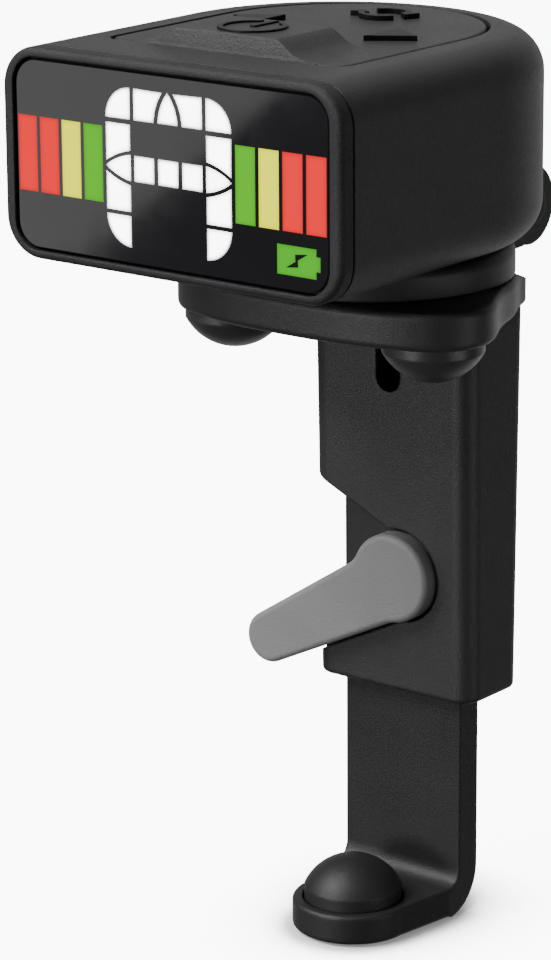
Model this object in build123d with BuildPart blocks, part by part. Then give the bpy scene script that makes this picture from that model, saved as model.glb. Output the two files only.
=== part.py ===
from build123d import *
import math
import os

# Clamp-on tuner for a stringed instrument, in millimetres.
# Origin: midway between the tips of the two upper rubber pads.
# +Z up the clamp, +X to the right, the display faces -Y.

# ---- driving dimensions -------------------------------------------------
U = 0.925  # size of one display unit

HEAD_HW = 18.0
HEAD_Z0, HEAD_Z1 = 11.4, 29.6
HEAD_ZC = 20.5
HEAD_R = 3.6
HEAD_YC = 0.5
FACE_Y = -22.4
BEZEL_T = 1.5
SEAM = 0.25
WALL = 1.6
FLOOR_T = 2.2

GLASS_HW, GLASS_HH, GLASS_R = 16.6, 8.1, 2.25
GLASS_Y = -22.2
GLASS_T = 0.9
INLAY_T = 0.5

KEY_HW = 12.4
KEY_Y0 = -15.0
KEY_YC = 1.6
KEY_GAP = 0.35
KEY_ZB = 26.8
RELIEF_Z = 31.1
GIM_Y, GIM_Z = -0.2, 25.2
MODE_Y, MODE_R = 7.7, 2.33

PCB_Z, PCB_T = 21.0, 1.0

DISC_Y, DISC_R = 6.0, 12.6
DISC_Z0, DISC_Z1 = 7.25, 9.9
TILT_Y, TILT_Z, TILT_R = 22.2, 11.1, 3.7

PLATE_Z0, PLATE_Z1 = 3.75, 7.1
PAD_X, PAD_R, PAD_H = 10.9, 4.5, 2.75

SL_HW, SL_Y0, SL_Y1 = 6.5, 10.6, 13.4
SL_TOP, FOOT_Z0, FOOT_Z1 = -12.0, -54.0, -51.2
TOE_Y, TOE_R = 2.9, 5.6
CH_GAP = 0.15

BR_HW, BR_Y0, BR_Y1, BR_Z0 = 8.9, 8.0, 17.2, -32.8
SLEEVE = [(PLATE_Z1 - 0.35, BR_HW, BR_Y0, BR_Y1), (BR_Z0, BR_HW - 0.1, BR_Y0 + 0.7, BR_Y1 - 0.45)]

LV_X, LV_Z, LV_EYE = 0.95, -21.6, 4.15
LV_EX, LV_EZ, LV_ER = -13.1, -29.95, 2.45
LV_Y0, LV_Y1 = 6.9, 9.3
BOLT_R = 1.25

os.makedirs("parts", exist_ok=True)


def save(builder, label):
    builder.part.label = label
    export_step(builder.part, "parts/" + label + ".step")


def front(y):
    """Plane seen from the front: local x is +X, local y is +Z, normal -Y."""
    return Plane(origin=(0, y, 0), x_dir=(1, 0, 0), z_dir=(0, -1, 0))


def d_outline(hw, y0, yc, r=0.0):
    """D-shaped plan: flat front, straight sides, half-round back."""
    with BuildSketch() as sk:
        with BuildLine():
            Line((-hw, yc), (-hw, y0))
            Line((-hw, y0), (hw, y0))
            Line((hw, y0), (hw, yc))
            ThreePointArc((hw, yc), (0, yc + hw), (-hw, yc))
        make_face()
        if r > 0:
            fillet(sk.vertices().sort_by(Axis.Y)[:2], r)
    return sk.sketch


def mirror_x(points):
    return [(-x, z) for x, z in reversed(points)]


# ---- head ---------------------------------------------------------------
with BuildPart() as front_bezel:
    with BuildSketch(front(FACE_Y + BEZEL_T)):
        with Locations((0, HEAD_ZC)):
            RectangleRounded(2 * HEAD_HW, HEAD_Z1 - HEAD_Z0, HEAD_R)
    extrude(amount=BEZEL_T)
    fillet(front_bezel.faces().sort_by(Axis.Y)[0].edges(), 0.55)
    with BuildSketch(front(FACE_Y + BEZEL_T + 1.5)):
        with Locations((0, (HEAD_Z0 + FLOOR_T + HEAD_Z1 - WALL) / 2)):
            RectangleRounded(2 * (HEAD_HW - WALL - 0.1), HEAD_Z1 - HEAD_Z0 - FLOOR_T - WALL - 0.2, 1.0)
    extrude(amount=1.5)
    with BuildSketch(front(GLASS_Y + GLASS_T + 0.05)):
        with Locations((0, HEAD_ZC)):
            RectangleRounded(2 * (GLASS_HW + 0.22), 2 * (GLASS_HH + 0.22), GLASS_R + 0.22)
    extrude(amount=3, mode=Mode.SUBTRACT)
    with BuildSketch(front(0)):
        with Locations((0, HEAD_ZC)):
            RectangleRounded(2 * 15.4, 2 * 6.3, 0.4)
    extrude(amount=25, mode=Mode.SUBTRACT)
save(front_bezel, "front_bezel")

with BuildPart() as housing_shell:
    with BuildSketch(Plane.XY.offset(HEAD_Z0)):
        add(d_outline(HEAD_HW, FACE_Y + BEZEL_T + SEAM, HEAD_YC))
    extrude(amount=HEAD_Z1 - HEAD_Z0)
    rim = housing_shell.faces().filter_by(Axis.Z).edges()
    fillet([e for e in rim if e.center().Y > FACE_Y + BEZEL_T + SEAM + 0.1], HEAD_R)
    with BuildSketch(Plane.XY.offset(HEAD_Z0 + FLOOR_T)):
        add(d_outline(HEAD_HW - WALL, FACE_Y - 1, HEAD_YC))
    extrude(amount=HEAD_Z1 - HEAD_Z0 - WALL - FLOOR_T, mode=Mode.SUBTRACT)
    # opening for the keypad in the top wall
    with BuildSketch(Plane.XY.offset(HEAD_Z1 - WALL - 1)):
        add(d_outline(KEY_HW + KEY_GAP, KEY_Y0 - KEY_GAP, KEY_YC, 1.6))
    extrude(amount=5, mode=Mode.SUBTRACT)
    # stepped opening for the bottom cover
    with BuildSketch(Plane.XY.offset(HEAD_Z0)):
        add(d_outline(13.2, -17.2, HEAD_YC, 2.0))
    extrude(amount=1.3, mode=Mode.SUBTRACT)
    with BuildSketch(Plane.XY.offset(HEAD_Z0)):
        with Locations((0, -3.5)):
            RectangleRounded(16.5, 20, 2)
    extrude(amount=4, mode=Mode.SUBTRACT)
    # charging socket opening in the left wall
    with BuildSketch(Plane(origin=(-HEAD_HW - 1, -6, 23.75), x_dir=(0, 1, 0), z_dir=(1, 0, 0))):
        RectangleRounded(9.5, 3.8, 1.8)
    extrude(amount=4, mode=Mode.SUBTRACT)
    # posts for the board and for the cover screws
    with BuildSketch(Plane.XY.offset(HEAD_Z0 + FLOOR_T)):
        with Locations((14.2, -13.5), (-14.2, -13.5), (13.0, 7.0), (-13.0, 7.0)):
            Circle(1.5)
    extrude(amount=PCB_Z - HEAD_Z0 - FLOOR_T)
    with BuildSketch(Plane.XY.offset(HEAD_Z0 + 1.3)):
        with Locations((10.6, -14.3), (-10.6, -14.3), (9.2, 6.8), (-9.2, 6.8)):
            Circle(2.0)
    extrude(amount=5.0)
    with BuildSketch(Plane.XY.offset(HEAD_Z0)):
        with Locations((10.6, -14.3), (-10.6, -14.3), (9.2, 6.8), (-9.2, 6.8)):
            Circle(0.75)
    extrude(amount=5.6, mode=Mode.SUBTRACT)
    # hinge lug under the back wall
    with BuildSketch(Plane.YZ.offset(-1.9)):
        with BuildLine():
            Line((16.6, 13.2), (20.4, 7.95))
            Line((20.4, 7.95), (23.5, 14.0))
            Line((23.5, 14.0), (18.2, 18.0))
            Line((18.2, 18.0), (16.6, 13.2))
        make_face()
        with Locations((TILT_Y, TILT_Z)):
            Circle(TILT_R - 0.1)
    extrude(amount=3.8)
    with Locations(Location((0, TILT_Y, TILT_Z), (0, 90, 0))):
        Cylinder(1.06, 12, mode=Mode.SUBTRACT)
save(housing_shell, "housing_shell")

with BuildPart() as bottom_cover:
    with BuildSketch(Plane.XY.offset(HEAD_Z0 + 0.1)):
        add(d_outline(13.05, -17.05, HEAD_YC, 1.85))
    extrude(amount=1.15)
    with Locations((0, -3.5, HEAD_Z0 + 0.1)):
        with GridLocations(0, 2.0, 1, 7):
            Box(10, 0.7, 0.5, mode=Mode.SUBTRACT)
    with BuildSketch(Plane.XY.offset(HEAD_Z0)):
        with Locations((10.6, -14.3), (-10.6, -14.3), (9.2, 6.8), (-9.2, 6.8)):
            Circle(0.9)
    extrude(amount=4, mode=Mode.SUBTRACT)
    with BuildSketch(Plane.XY.offset(HEAD_Z0)):
        with Locations((10.6, -14.3), (-10.6, -14.3), (9.2, 6.8), (-9.2, 6.8)):
            Circle(1.6)
    extrude(amount=0.75, mode=Mode.SUBTRACT)
save(bottom_cover, "bottom_cover")

with BuildPart() as cover_screws:
    with BuildSketch(Plane.XY.offset(HEAD_Z0 + 0.2)):
        with Locations((10.6, -14.3), (-10.6, -14.3), (9.2, 6.8), (-9.2, 6.8)):
            Circle(1.5)
    extrude(amount=0.55)
    with BuildSketch(Plane.XY.offset(HEAD_Z0 + 0.75)):
        with Locations((10.6, -14.3), (-10.6, -14.3), (9.2, 6.8), (-9.2, 6.8)):
            Circle(0.75)
    extrude(amount=4.4)
    with BuildSketch(Plane.XY.offset(HEAD_Z0)):
        with Locations((10.6, -14.3), (-10.6, -14.3), (9.2, 6.8), (-9.2, 6.8)):
            Rectangle(1.7, 0.4)
            Rectangle(0.4, 1.7)
    extrude(amount=0.5, mode=Mode.SUBTRACT)
save(cover_screws, "cover_screws")


# ---- display ------------------------------------------------------------
def inlay_plane():
    return Plane(origin=(0, GLASS_Y + INLAY_T, HEAD_ZC), x_dir=(1, 0, 0), z_dir=(0, -1, 0))


def scaled(points):
    return [(x * U, z * U) for x, z in points]


def tune_bars(first, count):
    """Upright bars on both sides of the note, counted from the outside."""
    with BuildPart() as bars:
        with BuildSketch(inlay_plane()):
            for side in (-1, 1):
                for i in range(count):
                    x = 16.589 - 2.617 * (first + i)
                    with Locations((side * U * x, 0)):
                        Rectangle(U * 2.216, U * 7.0)
        extrude(amount=INLAY_T)
    return bars


bars_red = tune_bars(0, 2)
save(bars_red, "bars_red")
bars_yellow = tune_bars(2, 1)
save(bars_yellow, "bars_yellow")
bars_green = tune_bars(3, 1)
save(bars_green, "bars_green")

with BuildPart() as note_segments:
    with BuildSketch(inlay_plane()):
        with BuildLine():
            Line(scaled([(-7.22, 4.4)])[0], scaled([(-7.22, 4.5)])[0])
            ThreePointArc(*scaled([(-7.22, 4.5), (-6.42, 6.42), (-4.5, 7.27)]))
            Polyline(*scaled([(-4.5, 7.27), (-4.37, 7.27), (-4.37, 4.4), (-7.22, 4.4)]))
        make_face()
        with BuildLine():
            Polyline(*scaled([(-1.63, 4.38), (-3.92, 4.38), (-3.92, 7.27), (-0.62, 7.2)]))
            ThreePointArc(*scaled([(-0.62, 7.2), (-1.32, 5.9), (-1.63, 4.38)]))
        make_face()
        with BuildLine():
            ThreePointArc(*scaled([(-1.15, 4.4), (-0.78, 6.0), (0, 7.27)]))
            ThreePointArc(*scaled([(0, 7.27), (0.78, 6.0), (1.15, 4.4)]))
            Line(*scaled([(1.15, 4.4), (-1.15, 4.4)]))
        make_face()
        with BuildLine():
            Polyline(*scaled([(-7.22, 3.93), (-4.37, 3.93), (-4.37, 1.58)]))
            ThreePointArc(*scaled([(-4.37, 1.58), (-5.85, 1.16), (-7.2, 0.45)]))
            Line(*scaled([(-7.2, 0.45), (-7.22, 3.93)]))
        make_face()
        with BuildLine():
            ThreePointArc(*scaled([(-7.25, 0), (-5.85, 0.78), (-4.35, 1.2)]))
            Line(*scaled([(-4.35, 1.2), (-4.35, -1.2)]))
            ThreePointArc(*scaled([(-4.35, -1.2), (-5.85, -0.78), (-7.25, 0)]))
        make_face()
        with BuildLine():
            ThreePointArc(*scaled([(-7.2, -0.5), (-5.85, -1.18), (-4.37, -1.59)]))
            Polyline(*scaled([(-4.37, -1.59), (-4.37, -4.0), (-7.22, -4.0), (-7.2, -0.5)]))
        make_face()
        with BuildLine():
            ThreePointArc(*scaled([(-7.22, -4.4), (-6.38, -6.43), (-4.37, -7.27)]))
            Polyline(*scaled([(-4.37, -7.27), (-4.37, -4.4), (-7.22, -4.4)]))
        make_face()
        for x, w in ((-2.775, 2.29), (0, 2.3)):
            with Locations((x * U, 0)):
                Rectangle(w * U, 2.38 * U)
        mirror(about=Plane.YZ)
    extrude(amount=INLAY_T)
save(note_segments, "note_segments")

with BuildPart() as battery_icon:
    with BuildSketch(inlay_plane()):
        with Locations((14.4 * U, -6.04 * U)):
            Rectangle(4.32 * U, 2.68 * U)
        with Locations((16.77 * U, -6.035 * U)):
            Rectangle(0.46 * U, 1.33 * U)
        bolt = [(14.22, -5.46), (15.67, -5.27), (14.53, -5.93), (14.56, -6.56), (13.17, -6.73), (14.25, -6.09)]
        Polygon(*scaled(bolt), align=None, mode=Mode.SUBTRACT)
    extrude(amount=INLAY_T)
save(battery_icon, "battery_icon")

with BuildPart() as display_glass:
    with BuildSketch(front(GLASS_Y + GLASS_T)):
        with Locations((0, HEAD_ZC)):
            RectangleRounded(2 * GLASS_HW, 2 * GLASS_HH, GLASS_R)
    extrude(amount=GLASS_T)
    chamfer(display_glass.faces().sort_by(Axis.Y)[0].edges(), 0.12)
    for inlay in (bars_red, bars_yellow, bars_green, note_segments, battery_icon):
        add(inlay.part, mode=Mode.SUBTRACT)
save(display_glass, "display_glass")

with BuildPart() as display_module:
    with BuildSketch(front(GLASS_Y + GLASS_T + 2.4)):
        with Locations((0, HEAD_ZC)):
            Rectangle(30.4, 12.2)
    extrude(amount=2.3)
    with BuildSketch(front(GLASS_Y + GLASS_T + 3.0)):
        with Locations((0, HEAD_ZC - 4.2)):
            Rectangle(12, 1.6)
    extrude(amount=0.6)
save(display_module, "display_module")

# ---- keypad -------------------------------------------------------------
with BuildPart() as keypad_cap:
    with BuildSketch(Plane.XY.offset(KEY_ZB)):
        add(d_outline(KEY_HW + 0.9, KEY_Y0 - 0.7, KEY_YC, 1.6))
    extrude(amount=0.4)
    with BuildSketch(Plane.XY.offset(KEY_ZB)):
        add(d_outline(KEY_HW, KEY_Y0, KEY_YC, 1.25))
    extrude(amount=HEAD_Z1 - KEY_ZB)
    edge = keypad_cap.faces().sort_by(Axis.Z)[-1].edges()
    fillet(edge, 0.25)
    # raised front platform with scooped flanks
    with BuildSketch(front(-7.0)):
        with BuildLine():
            Line((-9.8, 29.2), (-9.8, 29.6))
            Spline((-9.8, 29.6), (-8.6, 29.66), (-7.0, 30.1), (-5.25, 31.1), tangents=[(1, 0), (1, 0.35)])
            Line((-5.25, 31.1), (0, 31.15))
            Line((0, 31.15), (0, 29.2))
            Line((0, 29.2), (-9.8, 29.2))
        make_face()
        mirror(about=Plane.YZ)
    extrude(amount=8.0)
    with BuildSketch(Plane.YZ.offset(-20)):
        Polygon((-15.5, 29.55), (-14.85, 29.6), (-14.35, 31.3), (-15.5, 31.6), align=None)
    extrude(amount=40, mode=Mode.SUBTRACT)
    # lugs for the gimbal and pushers over the four switches
    with BuildSketch(Plane.XY.offset(24.3)):
        with Locations((0, GIM_Y - 4.6), (0, GIM_Y + 4.6)):
            Rectangle(2.2, 1.4)
    extrude(amount=KEY_ZB - 24.3)
    with Locations(Location((0, GIM_Y, GIM_Z), (90, 0, 0))):
        Cylinder(0.56, 12, mode=Mode.SUBTRACT)
    with BuildSketch(Plane.XY.offset(24.5)):
        with Locations((0, -10.4), (0, 7.7), (6.85, -0.2), (-6.85, -0.2)):
            Circle(0.9)
    extrude(amount=KEY_ZB - 24.5)
save(keypad_cap, "keypad_cap")

with BuildPart() as keypad_icons:
    with BuildSketch(Plane.XY.offset(HEAD_Z1)):
        for side in (-1, 1):
            Polygon((side * 9.9, -1.1), (side * 6.1, 1.4), (side * 6.1, -3.6), align=None)
    extrude(amount=0.45)
    # two arrows chasing each other round the mode key
    for turn in (0, 180):
        with BuildSketch(Plane(origin=(0, MODE_Y, HEAD_Z1), x_dir=(1 - turn / 90, 0, 0), z_dir=(0, 0, 1))):
            with BuildLine():
                outer = CenterArc((0, 0), MODE_R, 25, 120)
                inner = CenterArc((0, 0), MODE_R - 0.53, 25, 120)
                Line(outer @ 0, inner @ 0)
                Line(outer @ 1, inner @ 1)
            make_face()
            Polygon((2.93, 1.13), (1.2, 0.68), (2.33, -0.3), align=None)
        extrude(amount=0.45)
    with BuildSketch(Plane.XY.offset(RELIEF_Z - 0.1)):
        with Locations((0, -10.9)):
            Circle(3.0)
            Circle(2.5, mode=Mode.SUBTRACT)
        with Locations((0, -8.2)):
            Rectangle(2.0, 2.0, mode=Mode.SUBTRACT)
        with Locations((0, -9.3)):
            Rectangle(0.6, 3.2)
    extrude(amount=0.3)
    add(keypad_cap.part, mode=Mode.SUBTRACT)
save(keypad_icons, "keypad_icons")

with BuildPart() as gimbal_ring:
    with BuildSketch(Plane.XY.offset(GIM_Z - 0.6)):
        with Locations((0, GIM_Y)):
            Circle(3.1)
            Circle(1.8, mode=Mode.SUBTRACT)
    extrude(amount=1.2)
    for side in (-1, 1):
        with Locations(Location((side * 4.0, GIM_Y, GIM_Z), (0, 90, 0))):
            Cylinder(0.5, 2.6)
        with Locations(Location((0, GIM_Y + side * 4.0, GIM_Z), (90, 0, 0))):
            Cylinder(0.5, 2.6)
save(gimbal_ring, "gimbal_ring")

with BuildPart() as pivot_frame:
    with Locations((0, GIM_Y, PCB_Z + PCB_T + 0.3)):
        Box(10.6, 3.0, 0.6)
    for side in (-1, 1):
        with Locations((side * 4.6, GIM_Y, 24.2)):
            Box(1.4, 2.4, 4.4)
    with Locations(Location((0, GIM_Y, GIM_Z), (0, 90, 0))):
        Cylinder(0.56, 14, mode=Mode.SUBTRACT)
save(pivot_frame, "pivot_frame")

with BuildPart() as tact_switches:
    for x, y in ((0, -10.4), (0, 7.7), (6.85, -0.2), (-6.85, -0.2)):
        with Locations((x, y, PCB_Z + PCB_T + 0.8)):
            Box(2.9, 2.9, 1.6)
        with Locations((x, y, PCB_Z + PCB_T + 1.9)):
            Cylinder(0.8, 0.6)
save(tact_switches, "tact_switches")

# ---- electronics --------------------------------------------------------
with BuildPart() as circuit_board:
    with BuildSketch(Plane.XY.offset(PCB_Z)):
        add(d_outline(15.2, -16.4, -1.0, 1.5))
        with Locations((14.2, -13.5), (-14.2, -13.5), (13.0, 7.0), (-13.0, 7.0)):
            Circle(1.5)
            Circle(0.7, mode=Mode.SUBTRACT)
    extrude(amount=PCB_T)
save(circuit_board, "circuit_board")

with BuildPart() as board_chips:
    for x, y, w, d, h in ((0, -5.8, 5.0, 3.4, 0.9), (9.6, -8.6, 3.6, 3.6, 0.8), (9.6, 4.2, 2.4, 1.6, 0.8),
                          (-9.8, 4.4, 2.6, 1.8, 0.7), (5.8, -13.6, 3.2, 1.6, 0.7), (-5.8, -13.6, 3.2, 1.6, 0.7)):
        with Locations((x, y, PCB_Z + PCB_T + h / 2)):
            Box(w, d, h)
save(board_chips, "board_chips")

with BuildPart() as board_screws:
    for x, y in ((14.2, -13.5), (-14.2, -13.5), (13.0, 7.0), (-13.0, 7.0)):
        with Locations((x, y, PCB_Z + PCB_T + 0.4)):
            Cylinder(1.3, 0.8)
        with Locations((x, y, PCB_Z + PCB_T - 0.5)):
            Cylinder(0.7, 1.0)
save(board_screws, "board_screws")

with BuildPart() as battery_cell:
    with Locations((0, -5.0, 16.4)):
        Box(15.6, 19.0, 4.6)
    fillet(battery_cell.edges().filter_by(Axis.Y), 0.9)
save(battery_cell, "battery_cell")

with BuildPart() as piezo_sensor:
    with BuildSketch(Plane.XY.offset(HEAD_Z0 + 1.25)):
        with Locations((0, -3.5)):
            Circle(6.5)
    extrude(amount=0.2)
    with BuildSketch(Plane.XY.offset(HEAD_Z0 + 1.45)):
        with Locations((0, -3.5)):
            Circle(4.4)
    extrude(amount=0.25)
save(piezo_sensor, "piezo_sensor")

with BuildPart() as usb_socket:
    with BuildSketch(Plane(origin=(-17.4, -6, 23.75), x_dir=(0, 1, 0), z_dir=(1, 0, 0))):
        RectangleRounded(8.9, 3.3, 1.5)
        RectangleRounded(8.3, 2.7, 1.2, mode=Mode.SUBTRACT)
    extrude(amount=6.6)
    with BuildSketch(Plane(origin=(-11.4, -6, 23.75), x_dir=(0, 1, 0), z_dir=(1, 0, 0))):
        RectangleRounded(8.9, 3.3, 1.5)
    extrude(amount=0.6)
    with Locations((-13.6, -6, 23.75)):
        Box(4.6, 6.4, 0.7)
save(usb_socket, "usb_socket")

# ---- swivel -------------------------------------------------------------
with BuildPart() as swivel_disc:
    with BuildSketch(Plane.XY.offset(DISC_Z0)):
        with Locations((0, DISC_Y)):
            Circle(DISC_R)
    extrude(amount=DISC_Z1 - DISC_Z0)
    fillet(swivel_disc.faces().sort_by(Axis.Z)[-1].edges(), 0.9)
    for x in (-5.7, 2.5):
        with BuildSketch(Plane.YZ.offset(x)):
            with BuildLine():
                Polyline((15.0, DISC_Z0), (TILT_Y - 1.0, DISC_Z0 + 0.2), (TILT_Y + 1.5, 9.0),
                         (TILT_Y - 2.4, 12.5), (17.4, 9.8), (15.0, 9.8), (15.0, DISC_Z0))
            make_face()
            with Locations((TILT_Y, TILT_Z)):
                Circle(TILT_R)
        extrude(amount=3.2)
    with Locations(Location((0, TILT_Y, TILT_Z), (0, 90, 0))):
        Cylinder(1.0, 14, mode=Mode.SUBTRACT)
    with BuildSketch(Plane.XY.offset(DISC_Z0 - 1)):
        with Locations((0, DISC_Y)):
            Circle(2.06)
    extrude(amount=5, mode=Mode.SUBTRACT)
    with BuildSketch(Plane.XY.offset(8.5)):
        with Locations((0, DISC_Y)):
            Circle(4.2)
    extrude(amount=3, mode=Mode.SUBTRACT)
save(swivel_disc, "swivel_disc")

with BuildPart() as glide_ring:
    with BuildSketch(Plane.XY.offset(PLATE_Z1 + 0.04)):
        with Locations((0, DISC_Y)):
            Circle(6.3)
            Circle(3.2, mode=Mode.SUBTRACT)
    extrude(amount=DISC_Z0 - PLATE_Z1 - 0.04)
save(glide_ring, "glide_ring")

with BuildPart() as swivel_screw:
    with BuildSketch(Plane.XY.offset(4.2)):
        with Locations((0, DISC_Y)):
            Circle(2.0)
    extrude(amount=5.0)
    with BuildSketch(Plane.XY.offset(9.0)):
        with Locations((0, DISC_Y)):
            Circle(3.2)
    extrude(amount=1.3)
    fillet(swivel_screw.faces().sort_by(Axis.Z)[-1].edges(), 0.4)
    with BuildSketch(Plane.XY.offset(9.7)):
        with Locations((0, DISC_Y)):
            RegularPolygon(1.5, 6)
    extrude(amount=2, mode=Mode.SUBTRACT)
save(swivel_screw, "swivel_screw")

with BuildPart() as swivel_washer:
    with BuildSketch(Plane.XY.offset(8.55)):
        with Locations((0, DISC_Y)):
            Circle(3.9)
            Circle(2.06, mode=Mode.SUBTRACT)
    extrude(amount=0.4)
save(swivel_washer, "swivel_washer")

with BuildPart() as hinge_pin:
    with Locations(Location((0, TILT_Y, TILT_Z), (0, 90, 0))):
        Cylinder(1.0, 11.6)
        with Locations((0, 0, 6.0)):
            Cylinder(1.7, 0.5)
        with Locations((0, 0, -6.0)):
            Cylinder(1.7, 0.5)
save(hinge_pin, "hinge_pin")

with BuildPart() as hinge_washers:
    for side in (-1, 1):
        with Locations(Location((side * 2.25, TILT_Y, TILT_Z), (0, 90, 0))):
            Cylinder(3.0, 0.5)
            Cylinder(1.0, 2, mode=Mode.SUBTRACT)
save(hinge_washers, "hinge_washers")


# ---- clamp --------------------------------------------------------------
def lever_outline(grow=0.0):
    """Lever seen from the front: round eye, tapered arm, round end."""
    up = math.radians(33)
    low = math.radians(26)
    er = LV_ER + grow
    p1 = (LV_EX - er * math.sin(up), LV_EZ + er * math.cos(up))
    p2 = (p1[0] + 15.0 * math.cos(up), p1[1] + 15.0 * math.sin(up))
    p4 = (LV_EX + er * math.sin(low), LV_EZ - er * math.cos(low))
    p3 = (p4[0] + 15.0 * math.cos(low), p4[1] + 15.0 * math.sin(low))
    with BuildSketch() as sk:
        Polygon(p1, p2, (LV_X, LV_Z), p3, p4, align=None)
        with Locations((LV_EX, LV_EZ)):
            Circle(er)
        with Locations((LV_X, LV_Z)):
            Circle(LV_EYE + grow)
        neck = [v for v in sk.vertices()
                if abs(math.hypot(v.X - LV_X, v.Y - LV_Z) - LV_EYE - grow) < 0.02]
        fillet(neck, 2.6)
    return sk.sketch


with BuildPart() as jaw_bracket:
    plan = [(7.0, -6.6), (12.4, -4.95), (15.3, -2.75), (16.3, -0.1), (15.9, 2.1), (14.52, 4.8),
            (13.23, 7.76), (12.3, 10.35), (11.5, 11.92), (10.5, 14.0), (7.6, 16.2)]
    with BuildSketch(Plane.XY.offset(PLATE_Z0)):
        with BuildLine():
            Spline((0, -7.0), *plan, tangents=[(1, 0), (-1, 0)])
            Polyline((7.6, 16.2), (0, 16.2), (0, -7.0))
        make_face()
        mirror(about=Plane.YZ)
    extrude(amount=PLATE_Z1 - PLATE_Z0)
    fillet(jaw_bracket.faces().filter_by(Axis.Z).edges(), 0.6)
    # sleeve, a little shallower at its foot
    for z, hw, y0, y1 in SLEEVE:
        with BuildSketch(Plane.XY.offset(z)) as tube:
            with Locations((0, (y0 + y1) / 2)):
                Rectangle(2 * hw, y1 - y0)
            fillet(tube.vertices().group_by(Axis.Y)[0], 1.85)
            fillet(tube.vertices().group_by(Axis.Y)[-1], 1.4)
    loft()
    fillet(jaw_bracket.faces().sort_by(Axis.Z)[0].edges(), 0.5)
    # sloping rear shoulder
    with BuildSketch(Plane.YZ.offset(-20)):
        Polygon((12.8, PLATE_Z1 + 0.01), (18.0, 5.15), (18.0, 9.0), (12.8, 9.0), align=None)
    extrude(amount=40, mode=Mode.SUBTRACT)
    with Locations((0, (SL_Y0 + SL_Y1) / 2, (BR_Z0 - 1 + 3.0) / 2)):
        Box(2 * (SL_HW + CH_GAP), SL_Y1 - SL_Y0 + 2 * CH_GAP, 3.0 - BR_Z0 + 1, mode=Mode.SUBTRACT)
    # viewing slot under the plate
    with BuildSketch(front(BR_Y0 - 1)):
        with Locations((0, -3.05)):
            Circle(1.35)
        with Locations((0, -0.1)):
            Rectangle(2.7, 5.9)
    extrude(amount=-4.0, mode=Mode.SUBTRACT)
    # lever window, open to the left
    with BuildSketch(front(BR_Y0 - 1)):
        add(lever_outline(0.28))
        Polygon((-9.5, -12.92), (-8.9, -13.2), (-0.5, -17.1), (LV_X, LV_Z), (-9.5, -28.0), align=None)
    extrude(amount=-(SL_Y0 - CH_GAP - BR_Y0 + 1.05), mode=Mode.SUBTRACT)
    with BuildSketch(front(BR_Y0 - 1)):
        Polygon((-9.8, -12.78), (-8.9, -13.2), (-6.4, -14.36), (-6.4, -28.4), (-9.8, -29.9), align=None)
    extrude(amount=-(SL_Y1 + CH_GAP - BR_Y0 + 1), mode=Mode.SUBTRACT)
    # screw and pad holes in the plate
    with BuildSketch(Plane.XY.offset(4.2)):
        with Locations((0, DISC_Y)):
            Circle(2.0)
    extrude(amount=4, mode=Mode.SUBTRACT)
    with BuildSketch(Plane.XY.offset(3.0)):
        with Locations((PAD_X, 0), (-PAD_X, 0)):
            Circle(2.0)
    extrude(amount=2.9, mode=Mode.SUBTRACT)
    # pocket and hole for the clamp bolt in the back wall
    with Locations(Location((LV_X, BR_Y1 - 0.75, LV_Z), (90, 0, 0))):
        Cylinder(2.9, 2.1, mode=Mode.SUBTRACT)
    with Locations(Location((LV_X, BR_Y1 - 2, LV_Z), (90, 0, 0))):
        Cylinder(BOLT_R, 4.5, mode=Mode.SUBTRACT)
save(jaw_bracket, "jaw_bracket")


def rubber_dome(x, y, z_seat, skirt, cap, stem, up):
    """Domed pad: short skirt, spherical cap, stem pressed into its seat."""
    s = 1 if up else -1
    a = (PAD_R * PAD_R + cap * cap) / (2 * cap)
    z1 = z_seat + s * skirt
    z2 = z1 + s * cap
    mid = math.radians(90) - 0.5 * math.asin(PAD_R / a)
    arc_mid = (a * math.cos(mid), z2 - s * a + s * a * math.sin(mid))
    with BuildPart() as dome:
        with BuildSketch(Plane.XZ):
            with BuildLine():
                Polyline((0, z_seat), (PAD_R, z_seat), (PAD_R, z1))
                ThreePointArc((PAD_R, z1), arc_mid, (0, z2))
                Line((0, z2), (0, z_seat))
            make_face()
        revolve(axis=Axis.Z)
        with Locations((0, 0, z_seat - s * stem / 2)):
            Cylinder(2.0, stem)
    placed = dome.part.moved(Location((x, y, 0)))
    with BuildPart() as pad:
        add(placed)
    return pad


jaw_pad_left = rubber_dome(-PAD_X, 0, PLATE_Z0, PLATE_Z0 - PAD_H, PAD_H, 2.0, False)
save(jaw_pad_left, "jaw_pad_left")
jaw_pad_right = rubber_dome(PAD_X, 0, PLATE_Z0, PLATE_Z0 - PAD_H, PAD_H, 2.0, False)
save(jaw_pad_right, "jaw_pad_right")

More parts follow.
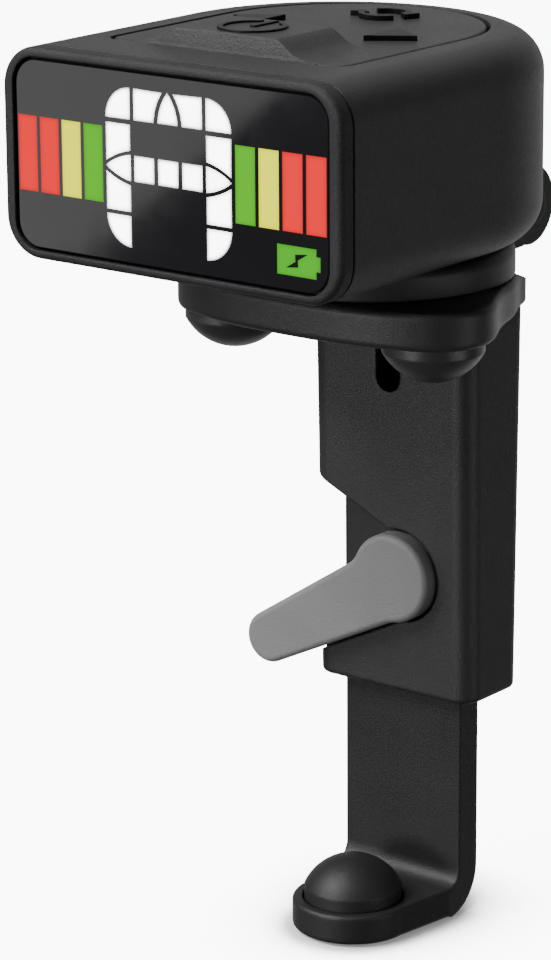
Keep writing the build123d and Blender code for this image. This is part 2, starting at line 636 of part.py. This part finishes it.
with BuildPart() as slider_foot:
    with BuildSketch(Plane.YZ.offset(-SL_HW)):
        with BuildLine():
            Polyline((SL_Y1, SL_TOP), (SL_Y0, SL_TOP), (SL_Y0, FOOT_Z1 + 1.6))
            RadiusArc((SL_Y0, FOOT_Z1 + 1.6), (SL_Y0 - 1.6, FOOT_Z1), 1.6)
            Polyline((SL_Y0 - 1.6, FOOT_Z1), (-4, FOOT_Z1), (-4, FOOT_Z0), (SL_Y1 - 4.3, FOOT_Z0))
            RadiusArc((SL_Y1 - 4.3, FOOT_Z0), (SL_Y1, FOOT_Z0 + 4.3), -4.3)
            Line((SL_Y1, FOOT_Z0 + 4.3), (SL_Y1, SL_TOP))
        make_face()
    extrude(amount=2 * SL_HW)
    with BuildSketch(Plane.XY.offset(FOOT_Z0 - 1)):
        with BuildLine():
            Polyline((-8, TOE_Y), (-8, -6), (8, -6), (8, TOE_Y), (TOE_R, TOE_Y))
            ThreePointArc((TOE_R, TOE_Y), (0, TOE_Y - TOE_R), (-TOE_R, TOE_Y))
            Line((-TOE_R, TOE_Y), (-8, TOE_Y))
        make_face()
        for side in (-1, 1):
            Polygon((side * TOE_R, TOE_Y - 0.01), (side * 8, TOE_Y - 0.01), (side * 8, 9.1),
                    (side * SL_HW, 9.1), align=None)
    extrude(amount=5.5, mode=Mode.SUBTRACT)
    under = slider_foot.faces().filter_by(Axis.Z).sort_by(Axis.Z)[0]
    fillet([e for e in under.edges() if e.center().Y < SL_Y1 - 4.4], 0.45)
    foot_top = [f for f in slider_foot.faces().filter_by(Axis.Z) if abs(f.center().Z - FOOT_Z1) < 0.01]
    fillet([e for e in foot_top[0].edges() if e.center().Y < SL_Y0 - 2.0], 0.35)
    with BuildSketch(Plane.XY.offset(FOOT_Z1 - 1.0)):
        with Locations((0, TOE_Y)):
            Circle(PAD_R + 0.2)
    extrude(amount=3, mode=Mode.SUBTRACT)
    with BuildSketch(Plane.XY.offset(FOOT_Z1 - 2.1)):
        with Locations((0, TOE_Y)):
            Circle(2.0)
    extrude(amount=3, mode=Mode.SUBTRACT)
    # slot for the clamp bolt
    with BuildSketch(front(SL_Y0 - 1)):
        with Locations((LV_X, (-16.4 - 29.9) / 2)):
            SlotCenterToCenter(13.5, 3.1, rotation=90)
    extrude(amount=-5, mode=Mode.SUBTRACT)
save(slider_foot, "slider_foot")

foot_pad = rubber_dome(0, TOE_Y, FOOT_Z1 - 1.0, 2.1, 2.8, 1.0, True)
save(foot_pad, "foot_pad")

with BuildPart() as lock_lever:
    with BuildSketch(front(LV_Y1)):
        add(lever_outline())
    extrude(amount=LV_Y1 - LV_Y0)
    fillet(lock_lever.faces().sort_by(Axis.Y)[0].edges(), 0.55)
    with Locations(Location((LV_X, LV_Y1 - 0.9, LV_Z), (90, 0, 0))):
        Cylinder(2.4, 1.8, mode=Mode.SUBTRACT)
save(lock_lever, "lock_lever")

with BuildPart() as lever_nut:
    with Locations(Location((LV_X, LV_Y1 - 0.9, LV_Z), (90, 0, 0))):
        Cylinder(2.4, 1.8)
        Cylinder(BOLT_R + 0.05, 3, mode=Mode.SUBTRACT)
save(lever_nut, "lever_nut")

with BuildPart() as pressure_washer:
    with Locations(Location((LV_X, (LV_Y1 + SL_Y0) / 2, LV_Z), (90, 0, 0))):
        Cylinder(3.9, SL_Y0 - LV_Y1 - 0.1)
        Cylinder(BOLT_R, 3, mode=Mode.SUBTRACT)
save(pressure_washer, "pressure_washer")

with BuildPart() as clamp_bolt:
    with Locations(Location((LV_X, (7.7 + BR_Y1 - 1.2) / 2, LV_Z), (90, 0, 0))):
        Cylinder(BOLT_R, BR_Y1 - 1.2 - 7.7)
    with Locations(Location((LV_X, BR_Y1 - 1.3, LV_Z), (90, 0, 0))):
        Cylinder(2.7, 1.0)
    with BuildSketch(front(BR_Y1 - 1.4)):
        with Locations((LV_X, LV_Z)):
            RegularPolygon(1.3, 6)
    extrude(amount=-2, mode=Mode.SUBTRACT)
save(clamp_bolt, "clamp_bolt")
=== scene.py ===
"""Studio scene for the clamp-on tuner: materials, floor, sky, lights and camera."""
import math

import bpy
from mathutils import Matrix, Vector


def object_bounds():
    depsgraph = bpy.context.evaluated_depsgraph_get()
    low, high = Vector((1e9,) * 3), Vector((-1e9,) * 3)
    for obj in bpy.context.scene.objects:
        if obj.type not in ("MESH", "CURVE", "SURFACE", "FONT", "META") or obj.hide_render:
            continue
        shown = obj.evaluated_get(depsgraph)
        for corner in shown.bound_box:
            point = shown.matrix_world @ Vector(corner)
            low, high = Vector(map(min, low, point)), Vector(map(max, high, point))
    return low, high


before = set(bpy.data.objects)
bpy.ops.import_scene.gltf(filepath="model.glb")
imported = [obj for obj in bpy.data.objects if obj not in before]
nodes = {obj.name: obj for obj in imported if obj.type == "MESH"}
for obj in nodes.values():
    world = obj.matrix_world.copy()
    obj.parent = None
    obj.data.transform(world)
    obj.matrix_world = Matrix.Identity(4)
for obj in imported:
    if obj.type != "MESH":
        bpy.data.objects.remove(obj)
CAD_LO, CAD_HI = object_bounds()

# Lengths are in metres, and noise scales are per metre.

# Plastic: spread of its roughness, height of its grain, scale of its faint clouds.
PLASTIC_SPREAD = 0.06
GRAIN_HEIGHT = 0.0001
CLOUD_SCALE = 140
EDGE_SAMPLES = 6

# Metal: spread of its roughness, scale of its grain, and how dark the grain's low spots are.
METAL_SPREAD = 0.1
METAL_GRAIN = 2600
METAL_SHADE = 0.8

# Lit pieces: how far in from an edge they are dimmer, the flatness at which the full glow
# begins and is reached, and the scale of their mottling.
GLOW_EDGE = 0.0009
GLOW_FROM, GLOW_TO = 0.72, 0.995
GLOW_CLOUD = 420
GLOW_SAMPLES = 16

# Display cover: scale of its smears and of its tint, and the roughness they vary between.
SMEAR_SCALE = 260
TINT_SCALE = 90
GLASS_ROUGH = (0.05, 0.10)

# Floor: its width, how far it lies below the clamp, its glow and the scale of its specks.
# Within CONTACT_REACH of the clamp the glow falls, a painted contact shadow, down to CONTACT_GLOW
# where the floor is least open; CONTACT_FROM and CONTACT_TO are that openness and the one that has
# the full glow.
FLOOR_SIZE = 80
FLOOR_DROP = 0.0002
FLOOR_GLOW = 9.0
SPECK_SCALE = 30
CONTACT_GLOW = 0.02 * FLOOR_GLOW
CONTACT_REACH = 0.010
CONTACT_FROM, CONTACT_TO = 0.70, 0.99
CONTACT_SAMPLES = 12

# Sky: dim all round, and bright about SKY_AXIS, which points back, left and down.
# SKY_FROM and SKY_TO are the cosines at which it starts to brighten and is full.
SKY_LOW, SKY_HIGH = 0.12, 1.0
SKY_AXIS = (-0.35, 0.87, -0.35)
SKY_FROM, SKY_TO = 0.60, 0.97

# Camera: its place, its turn in degrees, its lens and sensor in millimetres, and its clip.
CAM_PLACE = (0.197028, -0.258612, 0.082496)
CAM_AZIMUTH, CAM_ELEVATION, CAM_ROLL = 38.2, 16.0, -0.4
CAM_LENS, CAM_SENSOR = 142.84, 36.0
CAM_NEAR, CAM_FAR = 0.02, 50


# ---- node helpers -------------------------------------------------------
def new_material(name):
    """A new node material, with its tree and its Principled shader."""
    mat = bpy.data.materials.new(name)
    mat.use_nodes = True
    tree = mat.node_tree
    return mat, tree, tree.nodes["Principled BSDF"]


def noise(tree, scale, detail, rough):
    """Noise that is fixed to the piece."""
    coord = tree.nodes.new("ShaderNodeTexCoord")
    tex = tree.nodes.new("ShaderNodeTexNoise")
    tex.inputs["Scale"].default_value = scale
    tex.inputs["Detail"].default_value = detail
    tex.inputs["Roughness"].default_value = rough
    tree.links.new(coord.outputs["Object"], tex.inputs["Vector"])
    return tex


def remap(tree, source, low, high, from_low=0.3, from_high=0.7):
    """Take from_low..from_high, by default what noise mostly spans, to low..high."""
    node = tree.nodes.new("ShaderNodeMapRange")
    node.inputs["From Min"].default_value = from_low
    node.inputs["From Max"].default_value = from_high
    node.inputs["To Min"].default_value = low
    node.inputs["To Max"].default_value = high
    tree.links.new(source, node.inputs["Value"])
    return node.outputs["Result"]


def mix_colours(tree, factor, a, b):
    """Colour a where factor is 0, turning to colour b where it is 1."""
    node = tree.nodes.new("ShaderNodeMix")
    node.data_type = "RGBA"
    node.inputs["A"].default_value = (*a, 1)
    node.inputs["B"].default_value = (*b, 1)
    tree.links.new(factor, node.inputs["Factor"])
    return node.outputs["Result"]


def grained(name, dark, light, rough, grain, bump, spec=0.4, edge=0.0003):
    """Moulded plastic and the like: fine grain, faint clouds, edges softened by edge."""
    mat, tree, bsdf = new_material(name)
    fine = noise(tree, grain, 4.0, 0.7)
    cloud = noise(tree, CLOUD_SCALE, 2.0, 0.5)
    colour = mix_colours(tree, remap(tree, cloud.outputs["Fac"], 0.0, 1.0), dark, light)
    tree.links.new(colour, bsdf.inputs["Base Color"])
    tree.links.new(remap(tree, fine.outputs["Fac"], rough - PLASTIC_SPREAD, rough + PLASTIC_SPREAD),
                   bsdf.inputs["Roughness"])
    bsdf.inputs["Specular IOR Level"].default_value = spec
    relief = tree.nodes.new("ShaderNodeBump")
    relief.inputs["Strength"].default_value = bump
    relief.inputs["Distance"].default_value = GRAIN_HEIGHT
    soft_edge = tree.nodes.new("ShaderNodeBevel")
    soft_edge.samples = EDGE_SAMPLES
    soft_edge.inputs["Radius"].default_value = edge
    tree.links.new(soft_edge.outputs["Normal"], relief.inputs["Normal"])
    tree.links.new(fine.outputs["Fac"], relief.inputs["Height"])
    tree.links.new(relief.outputs["Normal"], bsdf.inputs["Normal"])
    return mat


def brushed(name, colour, rough):
    """Bare metal with a fine uneven finish."""
    mat, tree, bsdf = new_material(name)
    fine = noise(tree, METAL_GRAIN, 6.0, 0.7)
    tree.links.new(remap(tree, fine.outputs["Fac"], rough - METAL_SPREAD, rough + METAL_SPREAD),
                   bsdf.inputs["Roughness"])
    shade = tuple(c * METAL_SHADE for c in colour)
    tree.links.new(mix_colours(tree, fine.outputs["Fac"], shade, colour), bsdf.inputs["Base Color"])
    bsdf.inputs["Metallic"].default_value = 1.0
    return mat


def lit(name, colour, edge, base):
    """Lit diffuser: mottled glow, dimmer along the piece's edges."""
    mat, tree, bsdf = new_material(name)
    cloud = noise(tree, GLOW_CLOUD, 2.0, 0.5)
    rounded = tree.nodes.new("ShaderNodeBevel")
    rounded.samples = GLOW_SAMPLES
    rounded.inputs["Radius"].default_value = GLOW_EDGE
    plain = tree.nodes.new("ShaderNodeNewGeometry")
    flatness = tree.nodes.new("ShaderNodeVectorMath")
    flatness.operation = "DOT_PRODUCT"
    tree.links.new(rounded.outputs["Normal"], flatness.inputs[0])
    tree.links.new(plain.outputs["True Normal"], flatness.inputs[1])
    glow = mix_colours(tree, remap(tree, cloud.outputs["Fac"], 0.9, 1.0), edge, colour)
    shade = tree.nodes.new("ShaderNodeMix")
    shade.data_type = "RGBA"
    shade.inputs["A"].default_value = (*edge, 1)
    tree.links.new(glow, shade.inputs["B"])
    tree.links.new(remap(tree, flatness.outputs["Value"], 0.0, 1.0, GLOW_FROM, GLOW_TO),
                   shade.inputs["Factor"])
    bsdf.inputs["Base Color"].default_value = (*base, 1)
    bsdf.inputs["Roughness"].default_value = 0.35
    bsdf.inputs["Specular IOR Level"].default_value = 0.06
    tree.links.new(shade.outputs["Result"], bsdf.inputs["Emission Color"])
    bsdf.inputs["Emission Strength"].default_value = 1.0
    return mat


# ---- materials ----------------------------------------------------------
# grained: dark and light tone, roughness, scale of the grain, strength of its bump
housing = grained("housing_plastic", (0.016, 0.016, 0.017), (0.021, 0.021, 0.022), 0.50, 4200, 0.85)
# the bezel: the housing's plastic made darker and less glossy, painted shade that tones down the
# light its face catches
bezel = grained("bezel_plastic_shaded", (0.011, 0.011, 0.012), (0.015, 0.015, 0.016), 0.58, 4200, 0.95,
                spec=0.32)
clamp = grained("clamp_plastic", (0.017, 0.017, 0.018), (0.022, 0.022, 0.023), 0.48, 5200, 0.40)
# the slider and foot: the clamp's plastic made darker and less glossy, painted shade that tones down
# the light their faces catch
slide = grained("slide_plastic_shaded", (0.013, 0.013, 0.014), (0.017, 0.017, 0.018), 0.46, 5200, 0.35,
                spec=0.30)
lever = grained("lever_plastic", (0.165, 0.165, 0.165), (0.182, 0.182, 0.182), 0.55, 4200, 0.60)
rubber = grained("pad_rubber", (0.026, 0.026, 0.027), (0.032, 0.032, 0.033), 0.42, 2600, 0.18)
black = grained("inner_black", (0.006, 0.006, 0.006), (0.009, 0.009, 0.009), 0.5, 3800, 0.30)
white_pom = grained("glide_white", (0.52, 0.52, 0.50), (0.60, 0.60, 0.58), 0.45, 3000, 0.20)
board = grained("board_green", (0.010, 0.075, 0.030), (0.014, 0.095, 0.036), 0.35, 1500, 0.25)
cell = grained("cell_wrap", (0.14, 0.17, 0.26), (0.18, 0.21, 0.31), 0.3, 900, 0.35)

# brushed: colour, roughness
steel = brushed("steel", (0.50, 0.50, 0.51), 0.34)
brass = brushed("brass", (0.62, 0.43, 0.16), 0.32)

# lit: glow, glow at the edges, colour of the unlit plastic
red = lit("light_red", (1.38, 0.024, 0.030), (1.00, 0.014, 0.018), (0.03, 0.001, 0.001))
yellow = lit("light_yellow", (1.55, 1.58, 0.0), (1.20, 1.22, 0.0), (0.03, 0.03, 0.0))
green = lit("light_green", (0.105, 0.64, 0.010), (0.075, 0.46, 0.008), (0.01, 0.05, 0.002))
charge = lit("light_charge", (0.080, 0.58, 0.018), (0.055, 0.42, 0.012), (0.01, 0.05, 0.002))
white = lit("light_white", (9.0, 9.0, 9.0), (0.42, 0.42, 0.43), (0.10, 0.10, 0.10))

# the display's cover: black and glossy, slightly smeared
glass, tree, bsdf = new_material("display_black")
smear = noise(tree, SMEAR_SCALE, 3.0, 0.6)
tree.links.new(remap(tree, smear.outputs["Fac"], *GLASS_ROUGH), bsdf.inputs["Roughness"])
tint = noise(tree, TINT_SCALE, 2.0, 0.5)
tree.links.new(mix_colours(tree, tint.outputs["Fac"], (0.005, 0.005, 0.006), (0.008, 0.008, 0.009)),
               bsdf.inputs["Base Color"])
bsdf.inputs["Specular IOR Level"].default_value = 0.5

# the keypad's signs: finer edges than the moulded pieces, and darker and duller than the keypad,
# painted shade for the shade on their walls
icon = grained("icon_ink", (0.004, 0.004, 0.004), (0.006, 0.006, 0.006), 0.42, 3200, 0.25,
               spec=0.12, edge=0.0001)

# ---- the material of each piece -----------------------------------------
LOOK = {
    "front_bezel": bezel, "housing_shell": housing, "bottom_cover": housing, "cover_screws": steel,
    "display_glass": glass, "display_module": black, "note_segments": white, "bars_red": red,
    "bars_yellow": yellow, "bars_green": green, "battery_icon": charge, "keypad_cap": housing,
    "keypad_icons": icon, "gimbal_ring": white_pom, "pivot_frame": black, "tact_switches": black,
    "circuit_board": board, "board_chips": black, "board_screws": steel, "battery_cell": cell,
    "piezo_sensor": brass, "usb_socket": steel, "swivel_disc": clamp, "glide_ring": white_pom,
    "swivel_screw": steel, "swivel_washer": steel, "hinge_pin": clamp, "hinge_washers": white_pom,
    "jaw_bracket": clamp, "jaw_pad_left": rubber, "jaw_pad_right": rubber, "slider_foot": slide,
    "foot_pad": slide, "lock_lever": lever, "lever_nut": brass, "pressure_washer": steel,
    "clamp_bolt": steel,
}
for name, mat in LOOK.items():
    obj = nodes[name]
    obj.data.materials.clear()
    obj.data.materials.append(mat)

# ---- floor: a glowing backdrop, its glow dimmed round the foot as a painted contact shadow ---
bpy.ops.mesh.primitive_plane_add(size=FLOOR_SIZE, location=(0, 0, CAD_LO.z - FLOOR_DROP))
floor = bpy.context.object
floor.name = "floor"
floor_mat, tree, bsdf = new_material("floor_pale")
speck = noise(tree, SPECK_SCALE, 3.0, 0.5)
tree.links.new(mix_colours(tree, speck.outputs["Fac"], (0.90, 0.90, 0.90), (0.93, 0.93, 0.93)),
               bsdf.inputs["Base Color"])
bsdf.inputs["Roughness"].default_value = 0.7
bsdf.inputs["Specular IOR Level"].default_value = 0.1
bsdf.inputs["Emission Color"].default_value = (1, 1, 1, 1)
# painted contact shadow: the floor's glow falls where the foot closes in the open sky round it
painted_contact_shadow = tree.nodes.new("ShaderNodeAmbientOcclusion")
painted_contact_shadow.samples = CONTACT_SAMPLES
painted_contact_shadow.inputs["Distance"].default_value = CONTACT_REACH
tree.links.new(remap(tree, painted_contact_shadow.outputs["AO"], CONTACT_GLOW, FLOOR_GLOW, CONTACT_FROM, CONTACT_TO),
               bsdf.inputs["Emission Strength"])
floor.data.materials.append(floor_mat)
# the floor's glow doesn't light the clamp or show in it
floor.visible_diffuse = False
floor.visible_glossy = False

# ---- sky and lights -----------------------------------------------------
world = bpy.data.worlds.new("studio")
bpy.context.scene.world = world
world.use_nodes = True
tree = world.node_tree
sky = tree.nodes.new("ShaderNodeTexCoord")
facing = tree.nodes.new("ShaderNodeVectorMath")
facing.operation = "DOT_PRODUCT"
facing.inputs[1].default_value = SKY_AXIS
tree.links.new(sky.outputs["Generated"], facing.inputs[0])
tree.nodes["Background"].inputs["Color"].default_value = (1, 1, 1, 1)
tree.links.new(remap(tree, facing.outputs["Value"], SKY_LOW, SKY_HIGH, SKY_FROM, SKY_TO),
               tree.nodes["Background"].inputs["Strength"])


def area(name, loc, target, size, watts, size_y=None, lean=None):
    """Soft box at loc that faces target; lean then turns it about Y, in degrees."""
    data = bpy.data.lights.new(name, "AREA")
    data.energy = watts
    data.size = size
    if size_y:
        data.shape = "RECTANGLE"
        data.size_y = size_y
    obj = bpy.data.objects.new(name, data)
    bpy.context.scene.collection.objects.link(obj)
    obj.location = loc
    obj.rotation_mode = "QUATERNION"
    obj.rotation_quaternion = (Vector(target) - Vector(loc)).to_track_quat("-Z", "Y")
    if lean:
        turn = Matrix.Rotation(math.radians(lean), 4, "Y").to_quaternion()
        obj.rotation_quaternion = turn @ obj.rotation_quaternion


area("key", (-0.30, -0.42, 0.55), (0, 0, 0), 0.45, 10.0)
area("top", (-0.10, 0.25, 0.70), (0, 0, 0), 0.50, 2.0)
area("fill", (-0.12, -0.60, -0.01), (0, 0, 0.01), 0.15, 2.4)
area("side", (0.50, 0.03, -0.06), (0, 0, 0), 0.25, 0.7)
# the display's cover reflects this one, as a paler part with a diagonal edge
area("card", (-0.1833, -0.2113, 0.0059), (-0.1833, 0.0, 0.0059), 0.09, 0.060, 0.14, lean=52.0)

# ---- camera -------------------------------------------------------------
cam_data = bpy.data.cameras.new("camera")
cam = bpy.data.objects.new("camera", cam_data)
bpy.context.scene.collection.objects.link(cam)
cam_data.lens = CAM_LENS
cam_data.sensor_width = CAM_SENSOR
cam_data.clip_start = CAM_NEAR
cam_data.clip_end = CAM_FAR
azimuth, elevation = math.radians(CAM_AZIMUTH), math.radians(CAM_ELEVATION)
roll = math.radians(CAM_ROLL)
# the camera's own axes: back towards it, then right and up, level at first and then rolled
back = Vector((math.sin(azimuth) * math.cos(elevation),
               -math.cos(azimuth) * math.cos(elevation),
               math.sin(elevation)))
level_right = Vector((math.cos(azimuth), math.sin(azimuth), 0))
level_up = back.cross(level_right)
right = level_right * math.cos(roll) + level_up * math.sin(roll)
up = level_up * math.cos(roll) - level_right * math.sin(roll)
place = Matrix((right, up, back)).transposed().to_4x4()
place.translation = Vector(CAM_PLACE)
cam.matrix_world = place
bpy.context.scene.camera = cam
